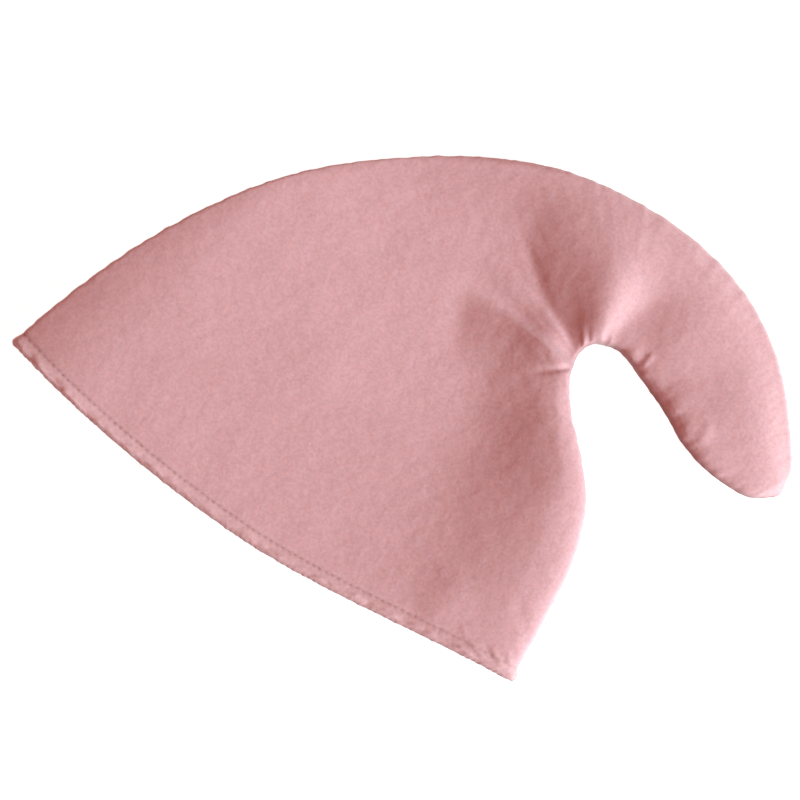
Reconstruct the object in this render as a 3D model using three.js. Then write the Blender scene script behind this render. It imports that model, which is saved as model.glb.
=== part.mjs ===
// A felt elf hat lying on its side, as it rests when nobody wears it.
// Two felt panels of one outline are sewn together round their curved edge, from the back corner
// of the mouth over the crown, round the drooping peak and back by the notch to the front corner.
// A turned hem runs round the mouth. Folds gathered by the tight seam fan out from the notch.
// Millimetres, +Z up. X runs along the mouth from the back to the front, and Y runs up the crown.
import * as THREE from "three";

// Driving dimensions
const FELT = 2; // thickness of the felt
const HEM_DEPTH = 7; // from the fold at the mouth up to the line of stitches
const HEM_THICKNESS = 2 * FELT; // the felt lies double in the hem
const PIECE_GAP = 0.3; // clear space between two sewn pieces
const LOWER_ROLL = 14; // how far in from the seam the lower panel takes to come down to the table
const EDGE_ROLL = 2.5; // how far in the edge of the felt rounds over at the seam
const CROWN_SHARE = 0.5; // height of the crown along the front seam, as a share of its roll
const LEAST_ROLL = 1; // the tightest roll on the inside of a wall
const ROLL_POWER = 2.6; // 2 rolls over as a quarter of an ellipse, and more levels out sooner
const FRONT_EASE = 0.62; // share of its bow that a section has lost at the front
const EASE_POWER = 1.5; // how soon the bow eases between the middle and the front
const FELT_PINK = 0xd6a2a7;

// Where the heights of a section are measured, as shares of the way from the front seam to the back
const HEIGHTS_AT = [0, 0.08, 0.3, 0.65, 1];

// Sections across the hat, from the fold of the hem, by its stitches, to the end of the peak.
// back and front: the seam's two points in plan. bow: how far the section's middle bends up the crown.
// seam: height of the seam over the table. lift: the lower panel's height over the table.
// A row that gives no bow or lift has none.
// roll: how far in from the seam the upper panel's crown takes to round over at the front, and the panel
// to slope up at the back.
// rise: height of the upper panel over the seam, at each share in HEIGHTS_AT.
const SECTIONS = [
  { back: [0, 0], front: [300, -1], bow: -16.4, seam: 9, roll: [14, 48], rise: [24, 22, 15.5, 11, 9] },
  { back: [2, 7], front: [298, 5.5], bow: -16.4, seam: 9, roll: [14, 48], rise: [24.5, 22.5, 15.5, 11, 9] },
  { back: [11, 37], front: [295.5, 32], bow: -15, seam: 9, roll: [12.5, 48], rise: [26, 25.5, 14.5, 9.5, 8] },
  { back: [24, 71], front: [291, 64], bow: -12, seam: 9.5, roll: [11, 46], rise: [26, 26, 12, 7, 6.5] },
  { back: [40, 103], front: [281.5, 90], bow: -8, seam: 11, roll: [9.5, 26], rise: [22, 22.4, 6.5, 4, 4.5] },
  { back: [60, 134], front: [267, 108], bow: -4, seam: 12, roll: [9, 16], rise: [18, 18, 4, 2, 3] },
  { back: [84, 161], front: [252.5, 122], seam: 11.5, roll: [4.5, 8], rise: [14.5, 15, 5.5, 2.5, 2.5] },
  { back: [111.5, 184], front: [242.5, 134], bow: 2, seam: 11, roll: [6, 6], rise: [12.5, 12.5, 6.5, 4, 2] },
  { back: [143.5, 205.5], front: [237.5, 146], bow: 3, seam: 13, roll: [5, 5], rise: [7, 6, 5.5, 4.5, 3] },
  { back: [180.5, 222], front: [238.5, 156], bow: 3, seam: 14, roll: [5, 5], rise: [6, 7.5, 8.5, 8.5, 6] },
  { back: [218, 229], front: [244.5, 161], bow: 3, seam: 15, roll: [5, 8], rise: [7, 9, 11.5, 12, 6.5] },
  { back: [252.5, 229], front: [254, 162.5], bow: 2, seam: 16, roll: [6, 10], rise: [9, 11, 12, 13, 6.5] },
  { back: [284.5, 222], front: [267.5, 158], bow: 1, seam: 19, roll: [7, 14], rise: [6.5, 9, 12, 12, 6.5] },
  { back: [309.5, 209], front: [287, 150], seam: 23.5, roll: [10, 16], rise: [5, 7.5, 8.6, 9, 4.2] },
  { back: [329, 193], front: [304.4, 141.4], seam: 25.5, roll: [11, 16], rise: [5, 7, 8, 8.6, 4] },
  { back: [344, 175.5], front: [322, 137.2], seam: 26, roll: [10, 14], rise: [5, 6.5, 7.6, 8, 3.8] },
  { back: [354, 162], front: [341, 137], seam: 25, lift: 3, roll: [9, 12], rise: [5, 6.5, 7.5, 6.5, 3.5] },
  { back: [356.3, 155], front: [350, 140.5], seam: 23.5, lift: 8, roll: [7, 9], rise: [4, 5, 6, 5.5, 3.5] },
  { back: [357, 147.5], front: [357, 147.5], seam: 21, lift: 17, roll: [11, 11], rise: [0, 0, 0, 0, 0] },
];

// Folds that the tight seam of the notch throws across the upper panel.
// at: section where the fold starts at the front seam. At a share w of the way to the back it has moved
// by lean times w plus curl times w squared, and its half width has grown by spread times w.
// halfWidth: in sections. flank: how much wider the fold is on its side towards the mouth.
// height: ridge over, or valley under, the panel.
// start and begin: shares of the way to the back between which the fold grows. A row that gives none has
// its whole height at the seam.
// full and reach: shares of the way to the back between which the fold dies away.
const RIDGE_AT_NOTCH = { at: 9.62, lean: 0, curl: -0.5, halfWidth: 0.8, spread: 0.3, flank: 1.62 };
const FOOT_OF_RIDGE = { at: 7.3, lean: 0.2, curl: 1.5, halfWidth: 0.4, spread: 0.2, flank: 2.5 };
const VALLEY_AT_PEAK = { at: 10.1, lean: 1.5, curl: 0, halfWidth: 0.36, spread: 1.5, flank: 1 };
const GATHER_AT_NOTCH = { at: 7.6, lean: -3.15, curl: 0, halfWidth: 0.25, spread: 0.3, flank: 3.6 };
const BAND_OVER_GATHER = { at: 7.8, lean: -1.4, curl: 0, halfWidth: 0.35, spread: 0, flank: 1 };
const GATHER_ON_PEAK = { at: 12.6, lean: 0, curl: 0, halfWidth: 0.35, spread: 0, flank: 1 };
const FOLDS = [
  { ...RIDGE_AT_NOTCH, height: 8, start: -0.25, begin: 0.15, full: 0.3, reach: 1.05 },
  { ...FOOT_OF_RIDGE, height: -2, start: 0.05, begin: 0.35, full: 0.4, reach: 1 },
  { ...VALLEY_AT_PEAK, height: -1.6, full: 0.3, reach: 1.1 },
  { ...GATHER_AT_NOTCH, height: 7.5, full: 0.16, reach: 0.5 },
  { ...BAND_OVER_GATHER, height: 2.2, start: 0.04, begin: 0.2, full: 0.34, reach: 0.6 },
  { ...GATHER_ON_PEAK, height: -1.5, full: 0, reach: 0.4 },
];

// Facets: steps for each section along the hat, and steps across it
const HEM_STITCHES = 1; // the panels start at this section, and the hem ends there
const LAST = SECTIONS.length - 1;
const UPPER_STEPS = [
  { from: HEM_STITCHES, to: 6, perSection: 2 },
  { from: 6, to: 13, perSection: 6 },
  { from: 13, to: LAST, perSection: 3 },
];
const LOWER_STEPS = [
  { from: HEM_STITCHES, to: 13, perSection: 2 },
  { from: 13, to: LAST, perSection: 3 },
];
const UPPER_ACROSS = 26;
const LOWER_ACROSS = 20;
const HEM_STEPS = 2; // along the depth of the hem
const FOLD_STEPS = 4; // round the fold of the hem
const TANGENT_STEP = 1e-3; // in sections, for the direction of the seam

const smooth = THREE.MathUtils.smoothstep;
const mix = THREE.MathUtils.lerp;

// A cubic between two values with the slopes given at both, at share f of the way
function cubic(from, to, slopeFrom, slopeTo, f) {
  const square = 3 * (to - from) - 2 * slopeFrom - slopeTo;
  const cube = 2 * (from - to) + slopeFrom + slopeTo;
  return from + f * (slopeFrom + f * (square + f * cube));
}

// A smooth curve through a list of values, at place t counted in entries of the list
function through(values, t) {
  const final = values.length - 1;
  const i = Math.min(Math.max(Math.floor(t), 0), final - 1);
  const before = i > 0 ? values[i - 1] : 2 * values[0] - values[1];
  const after = i + 2 <= final ? values[i + 2] : 2 * values[final] - values[final - 1];
  return cubic(values[i], values[i + 1], (values[i + 1] - before) / 2, (after - values[i]) / 2, t - i);
}

// The columns of the table
const column = (pick) => SECTIONS.map(pick);
const seamPoints = [...column((row) => row.back), ...column((row) => row.front).slice(0, LAST).reverse()];
const seamX = seamPoints.map((point) => point[0]);
const seamY = seamPoints.map((point) => point[1]);
const bows = column((row) => row.bow ?? 0);
const seams = column((row) => row.seam);
const lifts = column((row) => row.lift ?? 0);
const frontRolls = column((row) => row.roll[0]);
const backRolls = column((row) => row.roll[1]);
const rises = HEIGHTS_AT.map((_, k) => column((row) => row.rise[k]));

// A point of the seam in plan, moved into the hat by the inset.
// Place t runs in sections up the back to the peak, and on down the front.
function seamAt(t, inset) {
  const x = through(seamX, t);
  const y = through(seamY, t);
  const dx = through(seamX, t + TANGENT_STEP) - through(seamX, t - TANGENT_STEP);
  const dy = through(seamY, t + TANGENT_STEP) - through(seamY, t - TANGENT_STEP);
  const length = Math.hypot(dx, dy);
  return new THREE.Vector2(x + (inset * dy) / length, y - (inset * dx) / length);
}

// A slope that levels out: 0 at the seam and 1 at the end of its reach
function slopeUp(distance, reach) {
  return 1 - (1 - Math.min(distance / reach, 1)) ** ROLL_POWER;
}

// A rounded step: 0 at the seam, where it stands upright, and 1 at the end of the roll
function rollOver(distance, reach) {
  return Math.sqrt(slopeUp(distance, reach));
}

// Height of the upper panel over the seam at section s, share w of the way from front to back
function riseAt(s, w) {
  const heights = rises.map((values) => through(values, s));
  const final = HEIGHTS_AT.length - 1;
  const slopeAt = (k) => {
    const [low, high] = [Math.max(k - 1, 0), Math.min(k + 1, final)];
    return (heights[high] - heights[low]) / (HEIGHTS_AT[high] - HEIGHTS_AT[low]);
  };
  const k = HEIGHTS_AT.slice(1, final).filter((share) => share <= w).length;
  const span = HEIGHTS_AT[k + 1] - HEIGHTS_AT[k];
  const f = (w - HEIGHTS_AT[k]) / span;
  const plain = cubic(heights[k], heights[k + 1], slopeAt(k) * span, slopeAt(k + 1) * span, f);
  return FOLDS.reduce((sum, fold) => {
    const along = s - fold.at - fold.lean * w - fold.curl * w * w;
    const half = fold.halfWidth * (1 + fold.spread * w) * (along < 0 ? fold.flank : 1);
    const grown = fold.begin ? smooth(w, fold.start, fold.begin) : 1;
    const left = 1 - smooth(w, fold.full, fold.reach);
    return sum + fold.height * Math.exp(-((along / half) ** 2)) * grown * left;
  }, plain);
}

// A point of the felt: section s, share w from the front seam to the back seam.
// inset: depth under the outer face. gap: clear space between the two panels at the seam.
function feltAt(s, w, upper, inset, gap) {
  const front = seamAt(2 * LAST - s, inset);
  const back = seamAt(s, inset);
  const width = front.distanceTo(back);
  const inner = (reach) => Math.max(Math.min(reach - inset, width / 2), LEAST_ROLL);
  const seam = through(seams, s);
  const upperHeight = () => {
    const edge = rollOver((1 - w) * width, inner(EDGE_ROLL)) * Math.max(FELT - inset, 0);
    const slope = slopeUp((1 - w) * width, inner(through(backRolls, s)));
    const whole = edge + slope * Math.max(riseAt(s, w) - Math.max(FELT, inset), 0);
    const frontRoll = through(frontRolls, s);
    const crown = Math.min(whole, CROWN_SHARE * frontRoll);
    const height = whole - crown * (1 - rollOver(w * width, inner(frontRoll)));
    return seam + gap / 2 + rollOver(w * width, inner(EDGE_ROLL)) * height;
  };
  const lowerHeight = () => {
    const reach = inner(LOWER_ROLL);
    const roll = rollOver(w * width, reach) * rollOver((1 - w) * width, reach);
    return Math.max(seam - gap / 2 - roll * Math.max(seam - through(lifts, s) - inset, 0), inset);
  };
  const ease = 1 - FRONT_EASE * Math.max(1 - 2 * w, 0) ** EASE_POWER;
  const bend = through(bows, s) * 4 * w * (1 - w) * ease;
  const bow = width > LEAST_ROLL ? bend / width : 0;
  return new THREE.Vector3(
    mix(front.x, back.x, w) + bow * (back.y - front.y),
    mix(front.y, back.y, w) - bow * (back.x - front.x),
    upper ? upperHeight() : lowerHeight(),
  );
}

// Places along the hat, and shares across it that lie closer near the seam
function stations(stretches) {
  const list = stretches.flatMap(({ from, to, perSection }) =>
    Array.from({ length: (to - from) * perSection }, (_, i) => from + i / perSection),
  );
  return [...list, LAST];
}
function shares(count) {
  return Array.from({ length: count + 1 }, (_, i) => (1 - Math.cos((Math.PI * i) / count)) / 2);
}

// A closed solid from rows of points, where a row of one point is a pole.
// Each strip joins two rows, and each row runs the way that turns the faces outwards.
function solidFromStrips(strips) {
  const points = [];
  const corners = [];
  const indexOf = new Map();
  const indexFor = (point) => {
    if (!indexOf.has(point)) {
      indexOf.set(point, points.length);
      points.push(point);
    }
    return indexOf.get(point);
  };
  for (const [one, other] of strips) {
    const last = Math.max(one.length, other.length) - 1;
    const at = (row, i) => indexFor(row[Math.min(i, row.length - 1)]);
    for (let i = 0; i < last; i++) {
      if (one.length > 1) corners.push(at(one, i), at(one, i + 1), at(other, i + 1));
      if (other.length > 1) corners.push(at(one, i), at(other, i + 1), at(other, i));
    }
  }
  const geometry = new THREE.BufferGeometry().setFromPoints(points);
  geometry.setIndex(corners);
  geometry.computeVertexNormals();
  return geometry;
}

// One felt panel: its outer face, its inner face one thickness in, and the cut edge between them
function panel(upper) {
  const along = stations(upper ? UPPER_STEPS : LOWER_STEPS);
  const across = shares(upper ? UPPER_ACROSS : LOWER_ACROSS);
  const faceAt = (inset) =>
    along.map((s) => (s === LAST ? [0.5] : across).map((w) => feltAt(s, w, upper, inset, PIECE_GAP)));
  const top = faceAt(upper ? 0 : FELT);
  const bottom = faceAt(upper ? FELT : 0);
  const strips = along.slice(1).flatMap((_, i) => [
    [top[i + 1], top[i]],
    [bottom[i], bottom[i + 1]],
  ]);
  const frontEdge = (rows) => rows.map((row) => row[0]);
  const backEdge = (rows) => rows.map((row) => row[row.length - 1]);
  strips.push(
    [frontEdge(bottom), frontEdge(top)],
    [backEdge(top), backEdge(bottom)],
    [top[0], bottom[0]],
  );
  return solidFromStrips(strips);
}

// The hem: felt folded double round the whole mouth, as a ring of rounded sections
function hem() {
  const ring = [
    ...shares(UPPER_ACROSS).map((w) => ({ w, upper: true })),
    ...shares(LOWER_ACROSS)
      .slice(1, -1)
      .reverse()
      .map((w) => ({ w, upper: false })),
  ];
  const top = HEM_STITCHES * (1 - PIECE_GAP / HEM_DEPTH);
  const bend = HEM_THICKNESS / 2 / HEM_DEPTH;
  const straight = Array.from({ length: HEM_STEPS }, (_, i) => mix(top, bend, i / HEM_STEPS));
  const round = Array.from({ length: FOLD_STEPS + 1 }, (_, i) => (Math.PI * i) / FOLD_STEPS);
  const profile = [
    ...straight.map((s) => ({ s, inset: 0 })),
    ...round.map((turn) => ({
      s: bend * (1 - Math.sin(turn)),
      inset: (HEM_THICKNESS / 2) * (1 - Math.cos(turn)),
    })),
    ...straight.reverse().map((s) => ({ s, inset: HEM_THICKNESS })),
  ];
  const rows = ring.map(({ w, upper }) => {
    const section = profile.map(({ s, inset }) => feltAt(s, w, upper, inset, 0));
    return [...section, section[0]];
  });
  return solidFromStrips(rows.map((row, i) => [rows[(i + 1) % rows.length], row]));
}

const felt = new THREE.MeshStandardMaterial({ color: FELT_PINK, roughness: 0.95, metalness: 0 });

function piece(name, geometry) {
  const mesh = new THREE.Mesh(geometry, felt);
  mesh.name = name;
  return mesh;
}

const hat = new THREE.Group();
hat.add(piece("upper_panel", panel(true)));
hat.add(piece("lower_panel", panel(false)));
hat.add(piece("hem_band", hem()));

// The origin is the middle of the hat's outline, on the table
const middle = new THREE.Box3().setFromObject(hat).getCenter(new THREE.Vector3());
hat.position.set(-middle.x, -middle.y, 0);
const part = new THREE.Group();
part.add(hat);

export default part;
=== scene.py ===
"""A pink felt elf hat lying on its side on a pale floor.

Two felt panels are sewn round their curved edge, a turned hem runs round the mouth, and a line of
stitches holds the hem. Lengths in the tables are millimetres in the pattern's own plan: the back corner
of the mouth is the origin, X runs along the mouth to the front corner and Y up to the crown.
"""

import logging
import math
from dataclasses import dataclass, field
from enum import Enum
from typing import Any

import bpy
import bmesh
import numpy as np
from numpy.typing import NDArray
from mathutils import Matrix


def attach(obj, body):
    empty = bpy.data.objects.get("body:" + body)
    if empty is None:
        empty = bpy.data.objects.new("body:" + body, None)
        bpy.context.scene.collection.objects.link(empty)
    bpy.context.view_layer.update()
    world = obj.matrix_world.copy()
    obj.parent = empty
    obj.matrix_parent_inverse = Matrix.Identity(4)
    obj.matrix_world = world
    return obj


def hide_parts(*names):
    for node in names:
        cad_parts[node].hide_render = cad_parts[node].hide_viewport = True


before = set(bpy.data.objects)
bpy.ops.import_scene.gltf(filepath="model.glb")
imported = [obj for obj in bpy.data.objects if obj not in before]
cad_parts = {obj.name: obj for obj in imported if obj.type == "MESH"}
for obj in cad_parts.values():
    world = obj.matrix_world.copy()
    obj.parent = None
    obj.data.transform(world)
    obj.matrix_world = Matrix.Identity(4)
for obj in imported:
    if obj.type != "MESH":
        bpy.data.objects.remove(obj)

Array = NDArray[np.float64]
Colour = tuple[float, float, float]

LOG = logging.getLogger("elf_hat")
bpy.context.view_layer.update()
METRE = 1e-3
BODY = "root"
SHARP_ANGLE = math.radians(63)

# Points nearer than this are joined, and edges shorter than this are dropped, in metres
WELD_DISTANCE = 1e-7
LEAST_EDGE = 1e-8

# Middle of the hat's outline in the pattern's plan, which is the origin of the frame
PLAN_MIDDLE = (178.8818, 106.1933)

# The marks that say how much painted shade darkens the felt, and how much painted light makes it paler, from
# 0 to 1
PAINTED_SHADE = "painted_shade"
PAINTED_RIM_LIGHT = "painted_rim_light"


class Side(Enum):
    """The two panels, as the hat lies."""

    UPPER = "upper"
    LOWER = "lower"


@dataclass(frozen=True)
class Section:
    """A section across the hat, from the front seam to the back seam.

    back and front are the seam's two points in plan, seam its height over the table, and roll how far in
    from the seam the upper panel takes to round over at the front and to slope up at the back. rise is the
    upper panel's height over the seam at the shares in RISE_AT. bow bends the section's middle up the
    crown, and lift is the lower panel's height over the table.
    """

    back: tuple[float, float]
    front: tuple[float, float]
    seam: float
    roll: tuple[float, float]
    rise: tuple[float, float, float, float, float]
    bow: float = 0.0
    lift: float = 0.0


RISE_AT = np.array([0.0, 0.08, 0.3, 0.65, 1.0])

# From the fold of the hem, by its stitches, to the end of the peak
SECTIONS = (
    Section((0, 0), (300, -1), 9, (14, 48), (24, 22, 15.5, 11, 9), bow=-16.4),
    Section((2, 7), (298, 5.5), 9, (14, 48), (24.5, 22.5, 15.5, 11, 9), bow=-16.4),
    Section((11, 37), (295.5, 32), 9, (12.5, 48), (26, 25.5, 14.5, 9.5, 8), bow=-15),
    Section((24, 71), (291, 64), 9.5, (11, 46), (26, 26, 12, 7, 6.5), bow=-12),
    Section((40, 103), (281.5, 90), 11, (9.5, 26), (22, 22.4, 6.5, 4, 4.5), bow=-8),
    Section((60, 134), (267, 108), 12, (9, 16), (18, 18, 4, 2, 3), bow=-4),
    Section((84, 161), (252.5, 122), 11.5, (4.5, 8), (14.5, 15, 5.5, 2.5, 2.5)),
    Section((111.5, 184), (242.5, 134), 11, (6, 6), (12.5, 12.5, 6.5, 4, 2), bow=2),
    Section((143.5, 205.5), (237.5, 146), 13, (5, 5), (7, 6, 5.5, 4.5, 3), bow=3),
    Section((180.5, 222), (238.5, 156), 14, (5, 5), (6, 7.5, 8.5, 8.5, 6), bow=3),
    Section((218, 229), (244.5, 161), 15, (5, 8), (7, 9, 11.5, 12, 6.5), bow=3),
    Section((252.5, 229), (254, 162.5), 16, (6, 10), (9, 11, 12, 13, 6.5), bow=2),
    Section((284.5, 222), (267.5, 158), 19, (7, 14), (6.5, 9, 12, 12, 6.5), bow=1),
    Section((309.5, 209), (287, 150), 23.5, (10, 16), (5, 7.5, 8.6, 9, 4.2)),
    Section((329, 193), (304.4, 141.4), 25.5, (11, 16), (5, 7, 8, 8.6, 4)),
    Section((344, 175.5), (322, 137.2), 26, (10, 14), (5, 6.5, 7.6, 8, 3.8)),
    Section((354, 162), (341, 137), 25, (9, 12), (5, 6.5, 7.5, 6.5, 3.5), lift=3),
    Section((356.3, 155), (350, 140.5), 23.5, (7, 9), (4, 5, 6, 5.5, 3.5), lift=8),
    Section((357, 147.5), (357, 147.5), 21, (11, 11), (0, 0, 0, 0, 0), lift=17),
)

# Sections of the line of stitches, of the hem's edge over it and of the end of the peak
STITCH_LINE = 1.0
HEM_TOP = 1.1
LAST = len(SECTIONS) - 1

HEM_LENGTH = math.dist(SECTIONS[0].front, SECTIONS[0].back)
STITCH_PITCH = 3.5
STITCHES = round(HEM_LENGTH / STITCH_PITCH)


def smooth_step(value: Array, low: float, high: float) -> Array:
    """A smooth climb from 0 at low to 1 at high, 3t squared less 2t cubed."""
    share = np.clip((value - low) / (high - low), 0, 1)
    return share * share * (3 - 2 * share)


@dataclass(frozen=True)
class Fold:
    """A fold that the tight seam throws across the upper panel, a ridge or a valley.

    It starts at section `at` on the front seam. At a share w of the way to the back it has moved by lean
    times w plus curl times w squared, and its half width has grown by spread times w. Its flank towards
    the mouth is `flank` times as wide. It grows between the shares `start` and `begin` and dies away
    between the shares `full` and `reach`.
    """

    at: float
    half_width: float
    height: float
    reach: float
    full: float = 0.0
    lean: float = 0.0
    curl: float = 0.0
    spread: float = 0.0
    flank: float = 1.0
    start: float = -1.0
    begin: float = 0.0

    def height_at(self, section: Array, share: Array) -> Array:
        """Height of the fold: a bell curve across it that fades along it.

        Args:
            section: Sections along the hat.
            share: Shares of the way from the front seam to the back seam.

        Returns:
            Heights in millimetres.
        """
        middle = self.at + self.lean * share + self.curl * share * share
        across = (section - middle) / (self.half_width * (1 + self.spread * share))
        across = np.where(across < 0, across / self.flank, across)
        fade = smooth_step(share, self.start, self.begin) * (1 - smooth_step(share, self.full, self.reach))
        return self.height * np.exp(-across * across) * fade


# The main folds, then the fine ones
FOLDS = (
    # Ridge over the notch
    Fold(9.62, 0.8, 8, 1.05, full=0.3, curl=-0.5, spread=0.3, flank=1.62, start=-0.25, begin=0.15),
    # Foot of the ridge
    Fold(7.3, 0.4, -2, 1, full=0.4, lean=0.2, curl=1.5, spread=0.2, flank=2.5, start=0.05, begin=0.35),
    # Valley before the peak
    Fold(10.1, 0.36, -1.6, 1.1, full=0.3, lean=1.5, spread=1.5),
    # Gather by the notch, and the band over it
    Fold(7.6, 0.2, 7.5, 0.5, full=0.16, lean=-3.15, spread=0.3, flank=4.5),
    Fold(7.8, 0.35, 2.2, 0.6, full=0.34, lean=-1.4, start=0.04, begin=0.2),
    # Gather on the peak
    Fold(12.6, 0.35, -1.5, 0.4),
    # Edge of the band over the gather
    Fold(8.15, 0.13, 0.8, 0.42, full=0.2, lean=-2.2, curl=1.1, spread=0.4, start=0, begin=0.14),
    # Sharp crease under the notch
    Fold(7.75, 0.13, -1.4, 0.2, full=0.05, lean=-9.4),
    # Small pleats round the notch
    Fold(8.75, 0.14, 0.8, 0.16),
    Fold(9.05, 0.12, -0.5, 0.14),
    Fold(9.95, 0.13, -0.8, 0.16),
    Fold(10.25, 0.12, 0.7, 0.14),
    Fold(11.35, 0.14, 0.7, 0.22),
    Fold(11.75, 0.13, -0.4, 0.18),
    # Puckers along the inner side of the peak
    Fold(13.3, 0.2, -0.9, 0.3),
    Fold(14.0, 0.16, -0.5, 0.26),
    Fold(15.4, 0.2, -0.9, 0.3),
)


# Shares of a crease's length over which it grows from nothing and dies away again
CREASE_GROWS = (-0.25, 0.3)
CREASE_FADES = (0.7, 1.25)


@dataclass(frozen=True)
class Crease:
    """A short ridge in the felt between two points of the plan, or a valley if its height is negative."""

    start: tuple[float, float]
    end: tuple[float, float]
    half_width: float
    height: float

    def at(self, x: Array, y: Array) -> Array:
        """Height of the crease: a bell curve across its line that dies away past both ends.

        Args:
            x: Places across the plan, in millimetres.
            y: Places up the plan, in millimetres.

        Returns:
            Heights in millimetres.
        """
        run = np.subtract(self.end, self.start)
        length = np.linalg.norm(run)
        way = run / length
        along = ((x - self.start[0]) * way[0] + (y - self.start[1]) * way[1]) / length
        away = ((x - self.start[0]) * way[1] - (y - self.start[1]) * way[0]) / self.half_width
        fade = smooth_step(along, *CREASE_GROWS) * (1 - smooth_step(along, *CREASE_FADES))
        return self.height * np.exp(-away * away) * fade


# Along the back seam over the ridge, at the ridge's foot, by the gather, in the peak, and where the hem is
# pulled round the front corner
CREASES = (
    Crease((162, 216), (247, 231), 6.0, -1.4),
    Crease((185, 181.5), (222, 155), 3.2, -0.5),
    Crease((171, 149), (186, 118), 8.0, -0.8),
    Crease((203, 147), (214, 112), 13.0, 0.5),
    Crease((309.5, 147), (308.5, 157), 2.8, 0.6),
    Crease((266.3, 162.5), (266.6, 170), 1.8, 0.6),
    Crease((278, 33), (291, 22), 3.2, -0.3),
    Crease((246, 2), (251, 28), 11.0, 1.0),
    Crease((269, 4.0), (281, 0.4), 1.7, 0.5),
    Crease((281, 6.6), (290, 2.2), 1.8, 0.55),
    Crease((276, 6.8), (283, 3.4), 1.2, -0.2),
    Crease((288, 9.5), (293.5, 4.5), 1.4, 0.4),
    Crease((262, 8.5), (268, 3.5), 1.2, 0.4),
    Crease((284, 15.5), (290.5, 10.5), 1.8, -0.25),
)


@dataclass(frozen=True)
class Undulation:
    """Soft unevenness of the felt, a sum of plane waves with seeded lengths, directions and phases."""

    seed: int
    waves: int
    shortest: float
    longest: float
    height: float

    def at(self, x: Array, y: Array) -> Array:
        """Height of the unevenness: the waves' sum, scaled to the root mean square that height gives.

        Args:
            x: Places along the first direction, in millimetres.
            y: Places along the second direction, in millimetres.

        Returns:
            The heights at those places, in millimetres.
        """
        draw = np.random.default_rng(self.seed)
        length = np.exp(draw.uniform(math.log(self.shortest), math.log(self.longest), self.waves))
        turn = draw.uniform(0, math.tau, self.waves)
        phase = draw.uniform(0, math.tau, self.waves)
        total = np.zeros(np.broadcast(x, y).shape)
        for size, angle, start in zip(length, turn, phase):
            run = (x * math.cos(angle) + y * math.sin(angle)) / size
            total += np.sin(math.tau * run + start)
        return total * self.height * math.sqrt(2 / self.waves)


def cubic(start: Array, end: Array, slope_start: Array, slope_end: Array, share: Array) -> Array:
    """The cubic between two values that has the slopes given at both, at a share of the way."""
    square = 3 * (end - start) - 2 * slope_start - slope_end
    cube = 2 * (start - end) + slope_start + slope_end
    return start + share * (slope_start + share * (square + share * cube))


def through(rows: Array, place: Array) -> Array:
    """A smooth curve through the rows of a table.

    Each stretch is a cubic whose end slopes are half the step between the neighbouring rows, and the
    table is carried on straight past both ends.

    Args:
        rows: The table, one row for each whole place.
        place: Places along the table, counted in rows.

    Returns:
        The values there, with the table's columns as the last axis.
    """
    longer = np.vstack([2 * rows[0] - rows[1], rows, 2 * rows[-1] - rows[-2]])
    first = np.clip(np.floor(place).astype(int), 0, len(rows) - 2)
    before, start, end, after = (longer[first + k] for k in range(4))
    share = (place - first)[..., None]
    return cubic(start, end, (end - before) / 2, (after - start) / 2, share)


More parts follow.
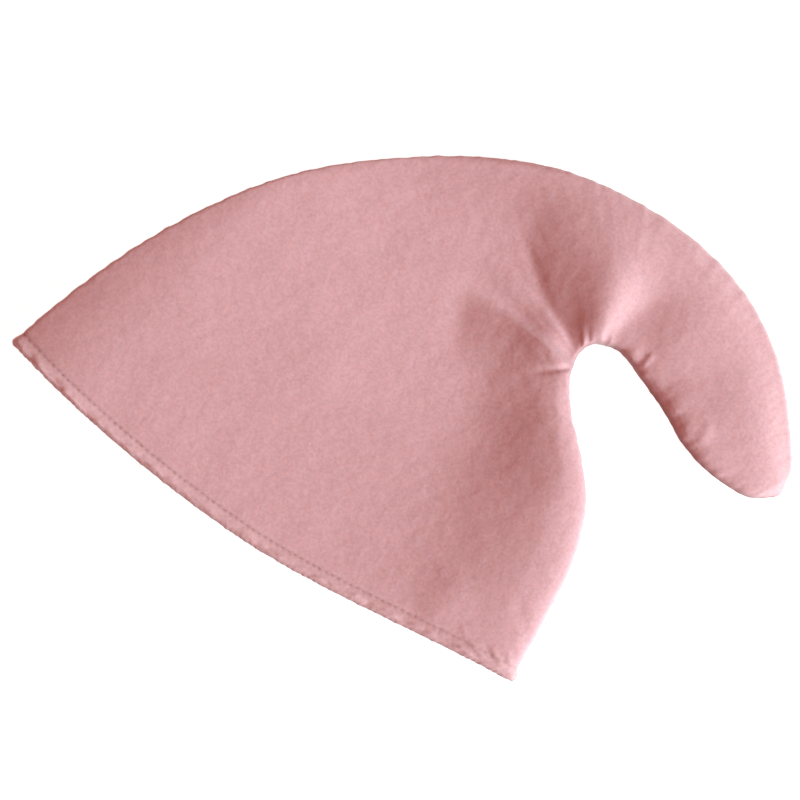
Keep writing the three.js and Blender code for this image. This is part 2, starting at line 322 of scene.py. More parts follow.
@dataclass
class HatForm:
    """The shape of the whole hat, as heights over sections of its plan."""

    lower_roll: float = 14.0
    least_roll: float = 1.0
    roll_power: float = 2.6
    edge_roll: float = 2.5
    edge_height: float = 2.0
    crown_share: float = 0.5
    front_ease: float = 0.62
    ease_power: float = 1.5
    tangent_step: float = 1e-3
    uneven: tuple[Undulation, ...] = (
        Undulation(seed=11, waves=14, shortest=24, longest=60, height=0.07),
        Undulation(seed=12, waves=24, shortest=7, longest=16, height=0.03),
    )
    ragged: Undulation = Undulation(seed=14, waves=24, shortest=2.2, longest=16, height=0.13)
    puckers: Undulation = Undulation(seed=13, waves=16, shortest=4, longest=13, height=0.2)
    pucker_reach: float = 4.0
    pucker_from: tuple[float, float] = (8.0, 9.0)
    run_samples: int = 4000
    seam_rows: Array = field(init=False)
    column_rows: Array = field(init=False)

    def __post_init__(self) -> None:
        """Turns the table of sections into arrays."""
        back = [row.back for row in SECTIONS]
        front = [row.front for row in SECTIONS[:-1]]
        self.seam_rows = np.array(back + front[::-1], float)
        self.column_rows = np.array(
            [(row.bow, row.seam, row.lift, *row.roll, *row.rise) for row in SECTIONS], float
        )

    def seam_at(self, place: Array, inset: Array) -> Array:
        """The seam in plan, moved into the hat along its own normal and a little ragged.

        Args:
            place: Sections up the back seam to the peak, and on down the front seam.
            inset: How far in, in millimetres.

        Returns:
            Points in plan, with x and y as the last axis.
        """
        point = through(self.seam_rows, place)
        ahead = through(self.seam_rows, place + self.tangent_step)
        step = ahead - through(self.seam_rows, place - self.tangent_step)
        step /= np.linalg.norm(step, axis=-1, keepdims=True)
        inward = np.stack([step[..., 1], -step[..., 0]], axis=-1)
        moved = np.asarray(inset) + self.ragged.at(self.seam_run(place), np.zeros(1))
        return point + inward * moved[..., None]

    def rise_at(self, section: Array, share: Array, rises: Array) -> Array:
        """Height of the upper panel over the seam: a cubic through five heights, and the folds.

        Args:
            section: Sections along the hat.
            share: Shares of the way from the front seam to the back seam.
            rises: The five heights there, as the last axis.

        Returns:
            Heights in millimetres.
        """
        low = np.maximum(np.arange(len(RISE_AT)) - 1, 0)
        high = np.minimum(np.arange(len(RISE_AT)) + 1, len(RISE_AT) - 1)
        slopes = (rises[..., high] - rises[..., low]) / (RISE_AT[high] - RISE_AT[low])
        stretch = np.clip(np.searchsorted(RISE_AT, share, side="right") - 1, 0, len(RISE_AT) - 2)
        span = RISE_AT[stretch + 1] - RISE_AT[stretch]

        def pick(values: Array, index: Array) -> Array:
            """The value of each point's own stretch."""
            return np.take_along_axis(values, index[..., None], axis=-1)[..., 0]

        height = cubic(
            pick(rises, stretch),
            pick(rises, stretch + 1),
            pick(slopes, stretch) * span,
            pick(slopes, stretch + 1) * span,
            (share - RISE_AT[stretch]) / span,
        )
        for fold in FOLDS:
            height = height + fold.height_at(section, share)
        return height

    def felt_at(
        self, section: Array, share: Array, side: Side, inset: Array, lip: float, gap: float
    ) -> Array:
        """Points of the felt in plan and height.

        A point lies on the straight line between the section's two seam points, bowed by a parabola that
        eases towards the front. The upper panel stands up from the front seam with a rounded edge, and a
        crown, a share of its roll high, leads over to its heights. At the back it starts with the rounded
        edge of the felt and slopes up. The lower panel rounds over from both seams.

        Args:
            section: Sections along the hat.
            share: Shares of the way from the front seam to the back seam.
            side: Which of the two panels.
            inset: Depth under the outer face, in millimetres.
            lip: How far the panel's edge stands off the middle of the seam.
            gap: Clear space between the two panels at the seam.

        Returns:
            Points in millimetres, with x, y and z as the last axis.
        """
        section, share, inset = np.broadcast_arrays(section, share, np.asarray(inset, float))
        front = self.seam_at(2 * LAST - section, inset)
        back = self.seam_at(section, inset)
        columns = through(self.column_rows, section)
        bow, seam, lift, front_roll, back_roll = (columns[..., k] for k in range(5))
        across = back - front
        width = np.linalg.norm(across, axis=-1)

        def left_over(reach: Array | float, distance: Array) -> Array:
            """A power of what is left of a reach, from 1 at the seam to 0 at the end of the reach."""
            inner = np.maximum(np.minimum(reach - inset, width / 2), self.least_roll)
            return (1 - np.minimum(distance * width / inner, 1)) ** self.roll_power

        ease = 1 - self.front_ease * np.maximum(1 - 2 * share, 0) ** self.ease_power
        bend = np.where(width > self.least_roll, bow * 4 * share * (1 - share) * ease, 0)
        bend = bend / np.maximum(width, self.least_roll)
        x = front[..., 0] + across[..., 0] * share + bend * across[..., 1]
        y = front[..., 1] + across[..., 1] * share - bend * across[..., 0]
        stand_off = gap / 2 + lip
        if side is Side.UPPER:
            rise = self.rise_at(section, share, columns[..., 5:])
            rise = rise + sum(relief.at(x, y) for relief in (*self.uneven, *CREASES))
            rise = rise + self.pucker_at(section, share * width)
            depth = stand_off + inset
            edge = np.sqrt(1 - left_over(self.edge_roll, 1 - share))
            edge = edge * np.maximum(self.edge_height - depth, 0)
            slope = 1 - left_over(back_roll, 1 - share)
            height = edge + slope * np.maximum(rise - np.maximum(self.edge_height, depth), 0)
            crown = np.minimum(height, self.crown_share * front_roll)
            height = height - crown * (1 - np.sqrt(1 - left_over(front_roll, share)))
            z = seam + stand_off + np.sqrt(1 - left_over(self.edge_roll, share)) * height
        else:
            roll = (1 - left_over(self.lower_roll, share)) * (1 - left_over(self.lower_roll, 1 - share))
            z = seam - stand_off - np.sqrt(roll) * np.maximum(seam - stand_off - lift - inset, 0)
            z = np.maximum(z, np.maximum(inset, 0))
        return np.stack([x, y, z], axis=-1)

    def pucker_at(self, section: Array, away: Array) -> Array:
        """Puckers along the tight inner seam: waves of its length that die away from it.

        Args:
            section: Sections along the hat.
            away: Distances from the front seam, in millimetres.

        Returns:
            Heights in millimetres.
        """
        wave = self.puckers.at(self.seam_run(2 * LAST - section), np.zeros(1))
        return wave * np.exp(-away / self.pucker_reach) * smooth_step(section, *self.pucker_from)

    def seam_run(self, place: Array) -> Array:
        """Length along the seam, in millimetres, from the back corner of the mouth to a place."""
        fine = np.linspace(0, len(self.seam_rows) - 1, self.run_samples)
        steps = np.linalg.norm(np.diff(through(self.seam_rows, fine), axis=0), axis=1)
        return np.interp(place, fine, np.concatenate([[0], np.cumsum(steps)]))


def in_frame(points: Array) -> Array:
    """Points of the plan, in millimetres, as points of the frame, in metres."""
    return (points.reshape(-1, 3) - (*PLAN_MIDDLE, 0)) * METRE


def grid_quads(rows: int, columns: int, wrap_rows: bool, wrap_columns: bool) -> NDArray[np.int64]:
    """Four corners for each cell of a grid of points.

    Args:
        rows: Rows of points.
        columns: Points in a row.
        wrap_rows: Whether the last row joins the first.
        wrap_columns: Whether each row joins its own start.

    Returns:
        One line of four indices for each cell, in the order that turns it towards rows times columns.
    """
    i, j = np.meshgrid(
        np.arange(rows if wrap_rows else rows - 1),
        np.arange(columns if wrap_columns else columns - 1),
        indexing="ij",
    )
    next_i, next_j = (i + 1) % rows, (j + 1) % columns
    corners = [i * columns + j, next_i * columns + j, next_i * columns + next_j, i * columns + next_j]
    return np.stack([corner.ravel() for corner in corners], axis=1)


def make_piece(
    name: str, points: Array, faces: list[tuple[int, ...]], marks: dict[str, Array]
) -> bpy.types.Object:
    """A mesh object in the frame, with smooth faces that point outwards and closed poles.

    Args:
        name: The piece's name.
        points: Its points, in metres.
        faces: The point indices of each face.
        marks: Numbers kept on the points for the finish, by name.

    Returns:
        The new object, in the scene.
    """
    mesh = bpy.data.meshes.new(name)
    mesh.from_pydata(points, [], faces)
    for label, values in marks.items():
        attribute = mesh.attributes.new(label, "FLOAT", "POINT")
        attribute.data.foreach_set("value", np.ascontiguousarray(values, np.float32).ravel())
    work = bmesh.new()
    work.from_mesh(mesh)
    bmesh.ops.remove_doubles(work, verts=work.verts, dist=WELD_DISTANCE)
    bmesh.ops.dissolve_degenerate(work, edges=work.edges, dist=LEAST_EDGE)
    bmesh.ops.recalc_face_normals(work, faces=work.faces)
    work.to_mesh(mesh)
    work.free()
    mesh.shade_smooth()
    mesh.set_sharp_from_angle(angle=SHARP_ANGLE)
    piece = bpy.data.objects.new(name, mesh)
    bpy.context.scene.collection.objects.link(piece)
    return piece


@dataclass(frozen=True)
class Noise:
    """A noise over the felt.

    scale counts its waves in a metre, detail how often it is repeated at half the size, roughness how
    strong each repeat is, and distortion how far the noise is drawn out into threads.
    """

    scale: float
    detail: float
    roughness: float
    distortion: float


class NodeSketch:
    """A material's nodes, added one by one and linked as they are added."""

    def __init__(self, name: str) -> None:
        """Starts an empty material with its output node."""
        self.material = bpy.data.materials.new(name)
        self.material.use_nodes = True
        self.tree = self.material.node_tree
        self.tree.nodes.clear()
        self.output = self.tree.nodes.new("ShaderNodeOutputMaterial")

    def add(self, kind: str, inputs: dict[str, Any], **settings: Any) -> bpy.types.Node:
        """Adds a node.

        Args:
            kind: The node's type, without its ShaderNode prefix.
            inputs: A value or another node's output for each input, by name or by place.
            settings: Values for the node's own settings.

        Returns:
            The new node.
        """
        node = self.tree.nodes.new("ShaderNode" + kind)
        for label, value in settings.items():
            setattr(node, label, value)
        for label, value in inputs.items():
            socket = node.inputs[int(label)] if label.isdigit() else node.inputs[label]
            if isinstance(value, bpy.types.NodeSocket):
                self.tree.links.new(value, socket)
            else:
                socket.default_value = value
        return node

    def noise(self, place: bpy.types.NodeSocket, noise: Noise) -> bpy.types.NodeSocket:
        """Noise from 0 to 1.

        Args:
            place: The output with the point's coordinates, in metres.
            noise: The noise's scale and character.

        Returns:
            The noise's output.
        """
        inputs = {
            "Vector": place,
            "Scale": noise.scale,
            "Detail": noise.detail,
            "Roughness": noise.roughness,
            "Distortion": noise.distortion,
        }
        return self.add("TexNoise", inputs).outputs["Fac"]

    def ramp(
        self, factor: bpy.types.NodeSocket, stops: tuple[tuple[float, Colour], ...]
    ) -> bpy.types.NodeSocket:
        """Colours along a ramp.

        Args:
            factor: The output that runs along the ramp.
            stops: Places on the ramp and their colours.

        Returns:
            The ramp's colour output.
        """
        node = self.add("ValToRGB", {"Fac": factor})
        node.color_ramp.interpolation = "EASE"
        for element, (place, colour) in zip(node.color_ramp.elements, stops):
            element.position = place
            element.color = (*colour, 1.0)
        return node.outputs["Color"]

    def mix(
        self, factor: Any, first: bpy.types.NodeSocket, second: Any, blend: str = "MIX"
    ) -> bpy.types.NodeSocket:
        """Two colours mixed.

        Args:
            factor: How much of the second colour, a number or an output.
            first: The output with the first colour.
            second: The second colour, or the output with it.
            blend: The way of mixing.

        Returns:
            The output with the mixed colour.
        """
        inputs = {"0": factor, "6": first, "7": second}
        return self.add("Mix", inputs, data_type="RGBA", blend_type=blend).outputs[2]

    def finish(self, shader: bpy.types.Node) -> bpy.types.Material:
        """Links the shader to the output and returns the material."""
        self.tree.links.new(shader.outputs[0], self.output.inputs["Surface"])
        return self.material


@dataclass(frozen=True)
class FeltFinish:
    """Napped felt: mottled colour, a fibrous grain in two sizes and a soft sheen."""

    name: str
    pale: Colour = (0.632, 0.346, 0.366)
    deep: Colour = (0.545, 0.29, 0.306)
    cool: Colour = (0.965, 0.985, 1.0)
    warm: Colour = (1.0, 0.975, 0.96)
    mottle: Noise = Noise(scale=620.0, detail=3.0, roughness=0.5, distortion=0.5)
    mottle_stops: tuple[float, float] = (0.3, 0.7)
    cloud: Noise = Noise(scale=45.0, detail=2.0, roughness=0.5, distortion=0.0)
    cloud_share: float = 0.2
    tint: Noise = Noise(scale=330.0, detail=3.0, roughness=0.6, distortion=1.0)
    tint_stops: tuple[float, float] = (0.36, 0.64)
    grain: Noise = Noise(scale=1900.0, detail=4.0, roughness=0.7, distortion=1.2)
    grain_height: float = 0.00005
    tuft: Noise = Noise(scale=160.0, detail=3.0, roughness=0.46, distortion=0.3)
    tuft_height: float = 0.00056
    bump_strength: float = 0.6
    # Colour of the painted shade at the inner seam, the hem's fold and the stitches
    edge: Colour = (0.3, 0.13, 0.125)
    # Colour of the painted light along the back seam's rounded edge
    painted_rim_light: Colour = (0.76, 0.56, 0.57)
    sheen: float = 0.22
    sheen_tint: Colour = (1.0, 0.86, 0.88)

    def material(self) -> bpy.types.Material:
        """The felt's material.

        The colour runs between two pinks with a mottle of a millimetre or two and faint clouds, is tinted by
        cooler and warmer fibres, turns deeper with painted shade at the seams, the hem's fold and the
        stitches, and paler with painted light along the back seam. The bump adds a grain of single fibres
        and a coarser one of tufts.
        """
        sketch = NodeSketch(self.name)
        place = sketch.add("TexCoord", {}).outputs["Object"]
        mottle = sketch.noise(place, self.mottle)
        cloud = sketch.noise(place, self.cloud)
        both = sketch.add(
            "Mix", {"Factor": self.cloud_share, "2": mottle, "3": cloud}, data_type="FLOAT"
        ).outputs[0]
        colour = sketch.ramp(both, tuple(zip(self.mottle_stops, (self.deep, self.pale))))
        fibres = sketch.noise(place, self.tint)
        tint = sketch.ramp(fibres, tuple(zip(self.tint_stops, (self.cool, self.warm))))
        colour = sketch.mix(1.0, colour, tint, "MULTIPLY")
        # Painted shade and painted light are mixed into the felt's colour here
        for mark, shade in ((PAINTED_SHADE, self.edge), (PAINTED_RIM_LIGHT, self.painted_rim_light)):
            share = sketch.add("Attribute", {}, attribute_name=mark).outputs["Fac"]
            colour = sketch.mix(share, colour, (*shade, 1.0))
        grain = sketch.noise(place, self.grain)
        tufts = sketch.noise(place, self.tuft)
        strength = {"Strength": self.bump_strength}
        fine = sketch.add("Bump", {**strength, "Distance": self.grain_height, "Height": grain})
        coarse = {"Distance": self.tuft_height, "Height": tufts, "Normal": fine.outputs["Normal"]}
        normal = sketch.add("Bump", {**strength, **coarse}).outputs["Normal"]
        shader = sketch.add(
            "BsdfPrincipled",
            {
                "Base Color": colour,
                "Roughness": 1.0,
                "Specular IOR Level": 0.12,
                "Sheen Weight": self.sheen,
                "Sheen Roughness": 0.55,
                "Sheen Tint": (*self.sheen_tint, 1.0),
                "Normal": normal,
            },
        )
        return sketch.finish(shader)


@dataclass(frozen=True)
class ThreadFinish:
    """Spun sewing thread: two plies that twist along it, in the colour of the felt."""

    name: str = "pink_thread"
    pale: Colour = (0.53, 0.232, 0.252)
    deep: Colour = (0.43, 0.175, 0.192)
    twist_length: float = 0.9
    twist_stops: tuple[float, float] = (0.0, 0.8)
    ply_height: float = 0.00012
    bump_strength: float = 0.7

    def material(self) -> bpy.types.Material:
        """The thread's material: slanted waves along the stitch give its twist to colour and bump."""
        sketch = NodeSketch(self.name)
        run = sketch.add("Attribute", {}, attribute_name="thread_run").outputs["Fac"]
        turn = sketch.add("Attribute", {}, attribute_name="thread_turn").outputs["Fac"]
        along = sketch.add("Math", {"0": run, "1": math.tau / self.twist_length}, operation="MULTIPLY")
        slant = sketch.add("Math", {"0": along.outputs[0], "1": turn}, operation="ADD")
        wave = sketch.add("Math", {"0": slant.outputs[0]}, operation="SINE")
        colour = sketch.ramp(wave.outputs[0], tuple(zip(self.twist_stops, (self.deep, self.pale))))
        plies = {"Distance": self.ply_height, "Height": wave.outputs[0]}
        bump = sketch.add("Bump", {"Strength": self.bump_strength, **plies})
        shader = sketch.add(
            "BsdfPrincipled",
            {
                "Base Color": colour,
                "Roughness": 0.75,
                "Sheen Weight": 0.1,
                "Normal": bump.outputs["Normal"],
            },
        )
        return sketch.finish(shader)


@dataclass
class FeltPanel:
    """One felt panel from the line of stitches to the end of the peak, a shell with rounded seam edges."""

    form: HatForm
    side: Side
    per_section: tuple[tuple[float, float, int], ...]
    columns: int
    inner_every: int = 4
    felt: float = 2.0
    seam_gap: float = 0.08
    lip_steps: int = 6
    crowding: float = 0.75
    # Painted shade along the inner seam, where the felt faces away from the key light
    painted_shade_reach: float = 1.7
    painted_shade_front: float = 0.8
    painted_shade_from: tuple[float, float] = (5.0, 8.0)
    # Painted light along the back seam's rounded edge, which faces away from the key light
    painted_rim_light_reach: float = 1.3
    painted_rim_light_back: float = 0.3

    @property
    def name(self) -> str:
        """The piece's name."""
        return f"{self.side.value}_panel_felt"

    def places(self) -> Array:
        """Sections of the rows, from the line of stitches to the end of the peak."""
        runs = [np.arange((high - low) * count) / count + low for low, high, count in self.per_section]
        return np.concatenate([*runs, [LAST]])

    def shares(self) -> Array:
        """Shares of the columns, closer together near the seam, by a cosine."""
        even = np.linspace(0, 1, self.columns + 1)
        return (1 - self.crowding) * even + self.crowding * (1 - np.cos(math.pi * even)) / 2

    def build(self) -> bpy.types.Object:
        """Makes the panel's mesh.

        Every row is a closed loop: the outer face from front to back, half a circle round the back seam's
        edge, the inner face with fewer points from back to front, and half a circle round the front
        seam's edge. The rows run up the hat and meet at the end of the peak.

        Returns:
            The new piece.
        """
        place, share = self.places(), self.shares()
        lip = self.felt / 2
        inner_share = share[:: self.inner_every][::-1]
        turn = np.linspace(0, math.pi, self.lip_steps + 1)[1:-1]

        def loop_part(part: Array, inset: Array, dip: Array) -> Array:
            """Points of every row over some shares, dipped towards the middle of the seam."""
            points = self.form.felt_at(place[:, None], part[None, :], self.side, inset, lip, self.seam_gap)
            points[..., 2] += -dip if self.side is Side.UPPER else dip
            return points

        round_inset, round_dip = lip * (1 - np.cos(turn)), lip * np.sin(turn)
        flat = np.zeros(1)
        loop = np.concatenate(
            [
                loop_part(share, flat, flat),
                loop_part(np.ones(turn.size), round_inset, round_dip),
                loop_part(inner_share, self.felt, flat),
                loop_part(np.zeros(turn.size), round_inset[::-1], round_dip[::-1]),
            ],
            axis=1,
        )
        rows, around = loop.shape[:2]
        faces = grid_quads(rows, around, False, True).tolist() + self.mouth_end(turn.size, around)
        shares = np.concatenate([share, np.ones(turn.size), inner_share, np.zeros(turn.size)])
        piece = make_piece(self.name, in_frame(loop), faces, self.marks_at(place, shares))
        LOG.info("%s: %d faces", piece.name, len(piece.data.polygons))
        return piece

    def marks_at(self, place: Array, share: Array) -> dict[str, Array]:
        """Painted shade and painted light on the felt: bell curves in from the seams.

        The painted shade lies most on the inside of the peak, and the painted light along the back seam.

        Args:
            place: Sections of the rows.
            share: Shares of the columns.

        Returns:
            Numbers from 0 to 1 for each mark, a row for each section.
        """
        ends = [self.form.seam_at(at, np.zeros(1)) for at in (2 * LAST - place, place)]
        width = np.linalg.norm(ends[1] - ends[0], axis=-1)[:, None]
        # Painted shade along the inner seam, from the notch to the end of the peak
        inside = smooth_step(place, *self.painted_shade_from)[:, None] * self.painted_shade_front
        painted_shade = inside * np.exp(-((share * width / self.painted_shade_reach) ** 2))
        # Painted light along the back seam
        painted_rim_light = self.painted_rim_light_back * np.exp(-(((1 - share) * width / self.painted_rim_light_reach) ** 2))
        return {PAINTED_SHADE: painted_shade, PAINTED_RIM_LIGHT: painted_rim_light}

    def mouth_end(self, rounding: int, around: int) -> list[tuple[int, ...]]:
        """Faces that close the panel's first row at the line of stitches.

        Args:
            rounding: Points round each seam edge.
            around: Points of the whole loop.

        Returns:
            A face for each stretch of the inner face, and one for each rounded edge.
        """
        outer = self.columns + 1
        inner = self.columns // self.inner_every + 1
        first_inner = outer + rounding
        faces = [
            (
                *range(k * self.inner_every, (k + 1) * self.inner_every + 1),
                first_inner + inner - 2 - k,
                first_inner + inner - 1 - k,
            )
            for k in range(inner - 1)
        ]
        faces.append(tuple(range(outer - 1, first_inner + 1)))
        faces.append((*range(first_inner + inner - 1, around), 0))
        return faces

    def dress(self, piece: bpy.types.Object, finish: bpy.types.Material) -> None:
        """Gives the panel its finish and its place on the body, and hides the CAD part that it stands for.
        """
        piece.data.materials.append(finish)
        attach(piece, BODY)
        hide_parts(f"{self.side.value}_panel")


@dataclass
class HemBand:
    """The turned hem: felt folded double round the whole mouth, puffed between its stitches and its fold."""

    form: HatForm
    stitches: int
    depth: float = 7.0
    thickness: float = 4.0
    upper_columns: int = 600
    lower_columns: int = 300
    outer_steps: int = 26
    fold_steps: int = 12
    inner_steps: int = 6
    groove_depth: float = 0.24
    groove_reach: float = 0.7
    dimple_depth: float = 0.1
    dimple_size: tuple[float, float] = (1.2, 0.6)
    puff: float = 0.7
    underside: float = 0.35
    tab: float = 0.6
    tab_reach: float = 3.0
    # Painted shade on the hem: towards the fold's underside, along the groove of the stitches and in each
    # stitch's dimple
    painted_shade_reach: float = 3.2
    painted_shade_fold: float = 0.6
    painted_shade_power: int = 3
    painted_shade_stitch: float = 0.22
    painted_shade_line: float = 0.13
    painted_shade_width: float = 0.45
    pillows: tuple[Undulation, ...] = (
        Undulation(seed=21, waves=18, shortest=9, longest=26, height=0.27),
        Undulation(seed=23, waves=24, shortest=4, longest=9, height=0.09),
    )
    pillow_from: tuple[float, float] = (0.6, 3.0)
    ragged: Undulation = Undulation(seed=22, waves=14, shortest=2.4, longest=9, height=0.12)

    def ring(self) -> list[tuple[Side, Array]]:
        """The ring of shares: the upper side from front to back, then the lower side from back to front."""
        upper = np.linspace(0, 1, self.upper_columns + 1)
        lower = np.linspace(1, 0, self.lower_columns + 1)[1:-1]
        return [(Side.UPPER, upper), (Side.LOWER, lower)]

    def profile(self) -> tuple[Array, Array, Array]:
        """The hem's section: down the outer face, round the fold, and up the inner face.

        Returns:
            Depth under the line of stitches, inset under the outer face, and 1 on the outer face, each for
            every point of the section, in millimetres.
        """
        bend = self.thickness / 2
        top = (STITCH_LINE - HEM_TOP) * 2 * self.depth
        down = np.linspace(top, self.depth - bend, self.outer_steps + 1)[:-1]
        turn = np.linspace(0, math.pi, self.fold_steps + 1)
        up = np.linspace(self.depth - bend, top, self.inner_steps + 1)[1:]
        depth = np.concatenate([down, self.depth - bend + bend * np.sin(turn), up])
        inset = np.concatenate([0 * down, bend * (1 - np.cos(turn)), self.thickness + 0 * up])
        outer = np.concatenate([1 + 0 * down, (1 + np.cos(turn)) / 2, 0 * up])
        return depth, inset, outer

    def sewn_at(self, share: Array, depth: Array, size: tuple[float, float]) -> Array:
        """Bell-shaped dimples, one round each stitch, from 0 to 1.

        Args:
            share: Shares of the way from the front to the back.
            depth: Depths under the line of stitches.
            size: Half widths of a dimple along and across the line.

        Returns:
            Numbers from 0 to 1.
        """
        pitch = HEM_LENGTH / self.stitches
        along = ((share * self.stitches) % 1 - 0.5) * pitch / size[0]
        return np.exp(-along * along - (depth / size[1]) ** 2)

    def build(self) -> bpy.types.Object:
        """Makes the hem's mesh, the section carried round the mouth.

        The outer face dips along the line of stitches and at each stitch, and swells between the stitches
        and the fold by a half sine and soft pillows. The fold's edge is a little ragged, and reaches out in
        a small tab at both corners.

        Returns:
            The new piece.
        """
        depth, inset, outer = (part[None, :] for part in self.profile())
        rows, painted_shade = [], []
        for side, shares in self.ring():
            share = shares[:, None]
            run = share * HEM_LENGTH
            shown = 1.0 if side is Side.UPPER else self.underside
            reach = smooth_step(depth, 0, self.depth)
            corner = np.minimum(run, HEM_LENGTH - run) / self.tab_reach
            ragged = self.ragged.at(run, HEM_LENGTH * (side is Side.LOWER) + 0 * depth)
            drop = depth + reach * (ragged * shown + self.tab * np.exp(-corner))
            sewn = self.sewn_at(share, depth, self.dimple_size)
            swell = self.puff * np.sin(math.pi * np.clip(depth / self.depth, 0, 1))
            soft = sum(wave.at(run, depth) for wave in self.pillows)
            soft = soft * smooth_step(depth, *self.pillow_from)
            groove = self.groove_depth * np.exp(-((depth / self.groove_reach) ** 2))
            extra = groove + self.dimple_depth * sewn
            section = STITCH_LINE - drop / np.where(drop > 0, self.depth, 2 * self.depth)
            relief = extra - (swell + soft) * shown
            rows.append(self.form.felt_at(section, share, side, inset + outer * relief, 0.0, 0.0))
            # Painted shade: darker towards the fold's underside, along the groove and in the stitch dimples
            near = np.clip(1 - (self.depth - depth) / self.painted_shade_reach, 0, 1)
            fold = near**self.painted_shade_power * self.painted_shade_fold
            line = self.painted_shade_line * np.exp(-((depth / self.painted_shade_width) ** 2))
            painted_shade.append(np.maximum(fold + 0 * share, line + sewn * self.painted_shade_stitch))
        loop = np.concatenate(rows)
        faces = grid_quads(*loop.shape[:2], True, True).tolist()
        piece = make_piece("hem_band_felt", in_frame(loop), faces, {PAINTED_SHADE: np.concatenate(painted_shade)})
        LOG.info("%s: %d faces", piece.name, len(piece.data.polygons))
        return piece

    def dress(self, piece: bpy.types.Object, finish: bpy.types.Material) -> None:
        """Gives the hem its finish and its place on the body, and hides the CAD part that it stands for."""
        piece.data.materials.append(finish)
        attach(piece, BODY)
        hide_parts("hem_band")


@dataclass
class HemStitches:
    """The line of stitches that holds the hem, on both sides of the hat."""

    form: HatForm
    count: int
    seed: int = 41
    length: float = 2.6
    radius: float = 0.16
    arch: float = 0.1
    dive: float = 0.4
    bed: float = 0.3
    sunk: float = 0.13
    sunk_front: float = 0.16
    sunk_reach: float = 0.3
    taper: float = 0.45
    bend_power: float = 6.0
    steps: int = 6
    sides: int = 7

    def build(self) -> bpy.types.Object:
        """Makes all stitches as one mesh.

        A stitch is a tube whose middle line lies in its dimple, arches by half a sine and dives into the
        felt at both ends, where it also tapers. Some are drawn deeper into the felt than others, and most
        of all near the front corner.

        Returns:
            The new piece.
        """
        step = np.linspace(0, 1, self.steps + 1)
        centre = (np.arange(self.count)[:, None] + 0.5) / self.count
        share = centre + (step - 0.5)[None, :] * self.length / HEM_LENGTH
        ends = np.abs(2 * step - 1) ** self.bend_power
        height = self.arch * np.sin(math.pi * step) - self.dive * ends
        turn = np.arange(self.sides) * math.tau / self.sides
        size = self.radius * (1 - self.taper * ends)[None, :, None, None]
        draw = np.random.default_rng(self.seed)
        near_front = 1 - smooth_step(centre, 0, self.sunk_reach)
        sides = []
        for side in Side:
            sunk = self.bed + draw.uniform(0, self.sunk, centre.shape) + self.sunk_front * near_front
            bed, under = (
                self.form.felt_at(np.full(1, STITCH_LINE), share, side, inset, 0.0, 0.0)
                for inset in (sunk, sunk + 1)
            )
            out = bed - under
            out /= np.linalg.norm(out, axis=-1, keepdims=True)
            forward = np.gradient(bed, axis=1)
            across = np.cross(forward, out)
            across /= np.linalg.norm(across, axis=-1, keepdims=True)
            middle = bed + out * height[None, :, None]
            ring = np.cos(turn)[:, None] * across[:, :, None, :]
            ring = ring + np.sin(turn)[:, None] * out[:, :, None, :]
            sides.append(middle[:, :, None, :] + size * ring)
        points = np.concatenate(sides)
        per_stitch = (self.steps + 1) * self.sides
        starts = np.arange(len(points)) * per_stitch
        tube = grid_quads(self.steps + 1, self.sides, False, True)
        cap = np.arange(self.sides)
        faces = (tube[None] + starts[:, None, None]).reshape(-1, 4).tolist()
        faces += (cap[None] + starts[:, None]).tolist()
        faces += (cap[None] + starts[:, None] + per_stitch - self.sides).tolist()
        marks = {
            "thread_run": np.broadcast_to((step * self.length)[None, :, None], points.shape[:3]),
            "thread_turn": np.broadcast_to(2 * turn[None, None, :], points.shape[:3]),
        }
        piece = make_piece("hem_stitches", in_frame(points), faces, marks)
        LOG.info("%s: %d stitches", piece.name, len(points))
        return piece

    def dress(self, piece: bpy.types.Object, finish: bpy.types.Material) -> None:
        """Gives the stitches their finish and their place on the body."""
        piece.data.materials.append(finish)
        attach(piece, BODY)


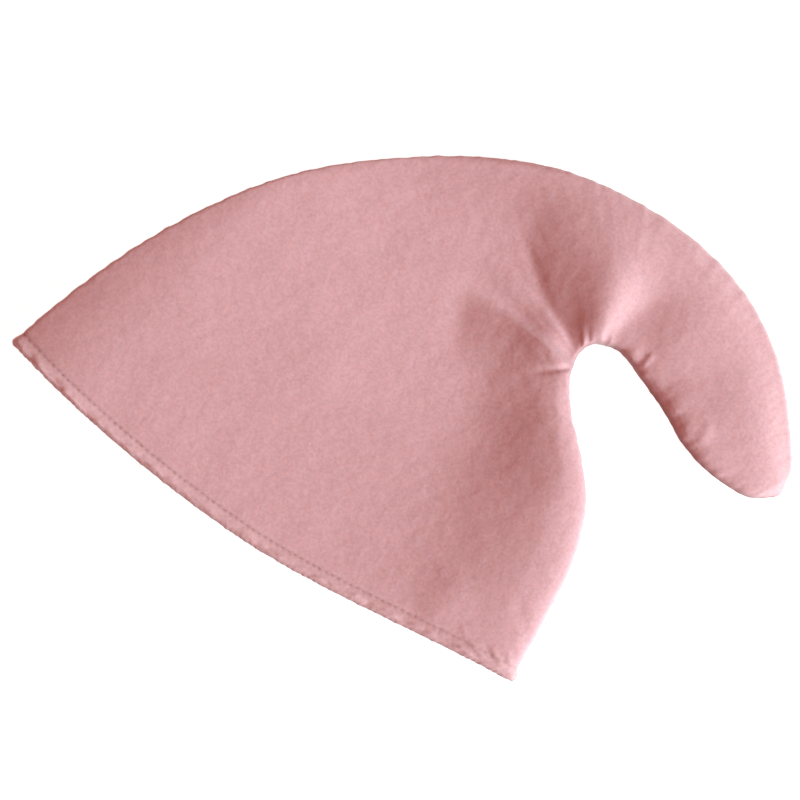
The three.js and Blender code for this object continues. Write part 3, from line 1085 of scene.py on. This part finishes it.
@dataclass
class Studio:
    """A pale lit floor, a soft key light low on the right, a soft room, and a camera straight above."""

    view_middle: tuple[float, float] = (176.2, 82.8)
    view_turn: float = 33.66
    view_width: float = 0.396
    view_height: float = 1.4
    object_level: float = 0.012
    sensor: float = 36.0
    key_azimuth: float = 6.0
    key_elevation: float = 31.0
    key_distance: float = 4.0
    key_size: float = 1.3
    key_power: float = 318.0
    key_colour: Colour = (0.71, 1.0, 1.05)
    room_colours: tuple[tuple[float, Colour], ...] = (
        (0.07, (1.0, 1.0, 1.0)),
        (0.2, (0.49, 0.182, 0.115)),
    )
    floor_half: float = 30.0
    floor_level: float = -0.0006
    floor_white: float = 0.25
    floor_glow: float = 0.96

    def build(self) -> None:
        """Makes the floor, the lights and the camera, and sets plain colour management."""
        self.make_floor()
        self.make_key()
        self.make_room()
        self.make_camera()
        bpy.context.scene.view_settings.view_transform = "Standard"

    def make_floor(self) -> None:
        """A square of floor that glows a little, like a light table."""
        half = self.floor_half
        corners = [(-half, -half), (half, -half), (half, half), (-half, half)]
        mesh = bpy.data.meshes.new("floor")
        mesh.from_pydata([(x, y, self.floor_level) for x, y in corners], [], [(0, 1, 2, 3)])
        floor = bpy.data.objects.new("floor", mesh)
        bpy.context.scene.collection.objects.link(floor)
        sketch = NodeSketch("pale_floor")
        white = (self.floor_white, self.floor_white, self.floor_white, 1.0)
        shader = sketch.add(
            "BsdfPrincipled",
            {
                "Base Color": white,
                "Roughness": 0.9,
                "Specular IOR Level": 0.0,
                "Emission Color": (1.0, 1.0, 1.0, 1.0),
                "Emission Strength": self.floor_glow,
            },
        )
        mesh.materials.append(sketch.finish(shader))

    def make_key(self) -> None:
        """A square key light aimed at the hat."""
        azimuth, elevation = math.radians(self.key_azimuth), math.radians(self.key_elevation)
        level = math.cos(elevation) * self.key_distance
        light = bpy.data.lights.new("key", "AREA")
        light.shape = "SQUARE"
        light.size = self.key_size
        light.energy = self.key_power
        light.color = self.key_colour
        key = bpy.data.objects.new("key", light)
        key.location = (
            level * math.cos(azimuth),
            level * math.sin(azimuth),
            math.sin(elevation) * self.key_distance,
        )
        key.rotation_euler = (0.0, math.pi / 2 - elevation, azimuth)
        bpy.context.scene.collection.objects.link(key)

    def make_room(self) -> None:
        """Soft light from all round, white along the horizon and warmer above."""
        room = bpy.data.worlds.new("room")
        room.use_nodes = True
        nodes, links = room.node_tree.nodes, room.node_tree.links
        place = nodes.new("ShaderNodeTexCoord")
        split = nodes.new("ShaderNodeSeparateXYZ")
        ramp = nodes.new("ShaderNodeValToRGB")
        ramp.color_ramp.interpolation = "EASE"
        for element, (height, colour) in zip(ramp.color_ramp.elements, self.room_colours):
            element.position = height
            element.color = (*colour, 1.0)
        links.new(place.outputs["Generated"], split.inputs["Vector"])
        links.new(split.outputs["Z"], ramp.inputs["Fac"])
        links.new(ramp.outputs["Color"], nodes["Background"].inputs["Color"])
        bpy.context.scene.world = room

    def make_camera(self) -> None:
        """A long lens straight above the hat, turned so that the mouth runs down to the right."""
        data = bpy.data.cameras.new("camera")
        data.sensor_width = self.sensor
        data.lens = self.sensor * (self.view_height - self.object_level) / self.view_width
        camera = bpy.data.objects.new("camera", data)
        x, y = np.subtract(self.view_middle, PLAN_MIDDLE) * METRE
        camera.location = (x, y, self.view_height)
        camera.rotation_euler = (0.0, 0.0, math.radians(self.view_turn))
        bpy.context.scene.collection.objects.link(camera)
        bpy.context.scene.camera = camera


# Stretches of each panel, from a section to a section, with their rows for each section, and its columns
UPPER_ROWS = ((HEM_TOP, 6, 22), (6, 13, 26), (13, LAST, 22))
UPPER_COLUMNS = 176
LOWER_ROWS = ((HEM_TOP, 13, 10), (13, LAST, 20))
LOWER_COLUMNS = 96

# The hem's two pinks, a little paler than the panels'
HEM_PALE: Colour = (0.645, 0.37, 0.386)
HEM_DEEP: Colour = (0.545, 0.3, 0.314)


def main() -> None:
    """Builds the hat's pieces and the studio."""
    logging.basicConfig(level=logging.INFO, format="%(name)s: %(message)s")
    Studio().build()
    form = HatForm()
    felt, thread = FeltFinish("pink_felt").material(), ThreadFinish().material()
    hem_felt = FeltFinish("pink_felt_hem", pale=HEM_PALE, deep=HEM_DEEP).material()
    upper = FeltPanel(form, Side.UPPER, UPPER_ROWS, UPPER_COLUMNS)
    lower = FeltPanel(form, Side.LOWER, LOWER_ROWS, LOWER_COLUMNS)
    hem, stitches = HemBand(form, STITCHES), HemStitches(form, STITCHES)
    upper_piece, lower_piece = upper.build(), lower.build()
    hem_piece, stitch_piece = hem.build(), stitches.build()
    upper.dress(upper_piece, felt)
    lower.dress(lower_piece, felt)
    hem.dress(hem_piece, hem_felt)
    stitches.dress(stitch_piece, thread)


if __name__ == "__main__":
    main()
